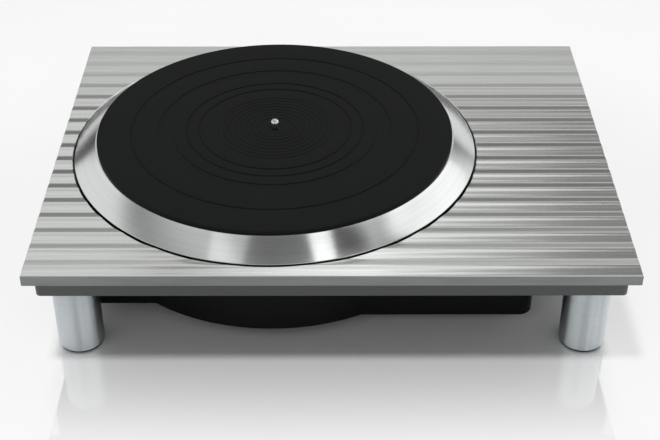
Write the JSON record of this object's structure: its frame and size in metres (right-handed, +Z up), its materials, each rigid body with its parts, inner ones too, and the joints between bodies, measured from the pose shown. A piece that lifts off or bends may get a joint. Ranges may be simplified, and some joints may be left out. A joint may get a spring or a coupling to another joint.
{
  "type": "turntable",
  "caption": "Direct-drive turntable with a rippled metal top plate, bevelled platter, grooved rubber mat, round metal legs and a moulded motor cover; no tonearm fitted.",
  "frame": {"origin": "on the floor under the middle of the top plate", "axes": "+X to the right along the plate's width, +Y to the back, +Z up along the platter's axis"},
  "size_m": [0.45, 0.35, 0.1092],
  "materials": {
    "plate_metal": "brushed along the ripples",
    "chassis_metal": "dark grey satin",
    "leg_metal": "satin turned",
    "platter_metal": "spun and brushed",
    "mat_rubber": "matt moulded",
    "damper_rubber": "matt",
    "pad_rubber": "matt",
    "cover_plastic": "black satin moulding",
    "steel": "zinc plated",
    "spindle_steel": "polished",
    "bronze": "machined",
    "copper": "lacquered wire",
    "magnet": "sintered",
    "motor_metal": "machined",
    "circuit_board": "solder mask",
    "chip_plastic": "moulded",
    "pale_plastic": "moulded",
    "capacitor_sleeve": "shrink sleeve",
    "winding_tape": "tape",
    "lead_sheath": "flexible sheath"
  },
  "bodies": {
    "plinth": {"top_plate": "plate_metal", "chassis": "chassis_metal", "plate_screws": "steel", "under_cover": "cover_plastic", "cover_screws": "steel", "motor_plate": "motor_metal", "motor_screws": "steel", "bearing_housing": "bronze", "bearing_screws": "steel", "upper_bush": "bronze", "lower_bush": "bronze", "thrust_pad": "pale_plastic", "bearing_cap": "bronze", "cap_screws": "steel", "stator_iron": "steel", "stator_board": "circuit_board", "stator_coils": "copper", "hall_sensors": "chip_plastic", "stator_screws": "steel", "motor_lead": "lead_sheath", "control_board": "circuit_board", "board_screws": "steel", "lead_socket": "pale_plastic", "control_chip": "chip_plastic", "quartz_crystal": "steel", "drive_chips": "chip_plastic", "heat_sink": "motor_metal", "capacitors": "capacitor_sleeve", "transformer_core": "magnet", "transformer_winding": "winding_tape", "power_inlet": "chip_plastic", "inlet_blades": "steel", "leg_studs": "steel"},
    "platter": {"platter": "platter_metal", "platter_damper": "damper_rubber", "rubber_mat": "mat_rubber", "spindle": "steel", "spindle_pin": "spindle_steel", "thrust_ball": "steel", "platter_hub": "motor_metal", "platter_screws": "steel", "rotor_yoke": "steel", "rotor_magnet": "magnet", "rotor_screws": "steel"},
    "front_left_leg": {"leg_front_left": "leg_metal", "foot_pad_front_left": "pad_rubber"},
    "front_right_leg": {"leg_front_right": "leg_metal", "foot_pad_front_right": "pad_rubber"},
    "rear_left_leg": {"leg_rear_left": "leg_metal", "foot_pad_rear_left": "pad_rubber"},
    "rear_right_leg": {"leg_rear_right": "leg_metal", "foot_pad_rear_right": "pad_rubber"}
  },
  "joints": [
    {"name": "platter_spin", "type": "hinge", "parent": "plinth", "child": "platter", "pos_m": [-0.0463, 0.0021, 0.09], "axis": [0, 0, -1], "continuous": true},
    {"name": "front_left_level", "type": "slide", "parent": "plinth", "child": "front_left_leg", "axis": [0, 0, -1], "range_m": [0, 0.006]},
    {"name": "front_right_level", "type": "slide", "parent": "plinth", "child": "front_right_leg", "axis": [0, 0, -1], "range_m": [0, 0.006]},
    {"name": "rear_left_level", "type": "slide", "parent": "plinth", "child": "rear_left_leg", "axis": [0, 0, -1], "range_m": [0, 0.006]},
    {"name": "rear_right_level", "type": "slide", "parent": "plinth", "child": "rear_right_leg", "axis": [0, 0, -1], "range_m": [0, 0.006]}
  ]
}
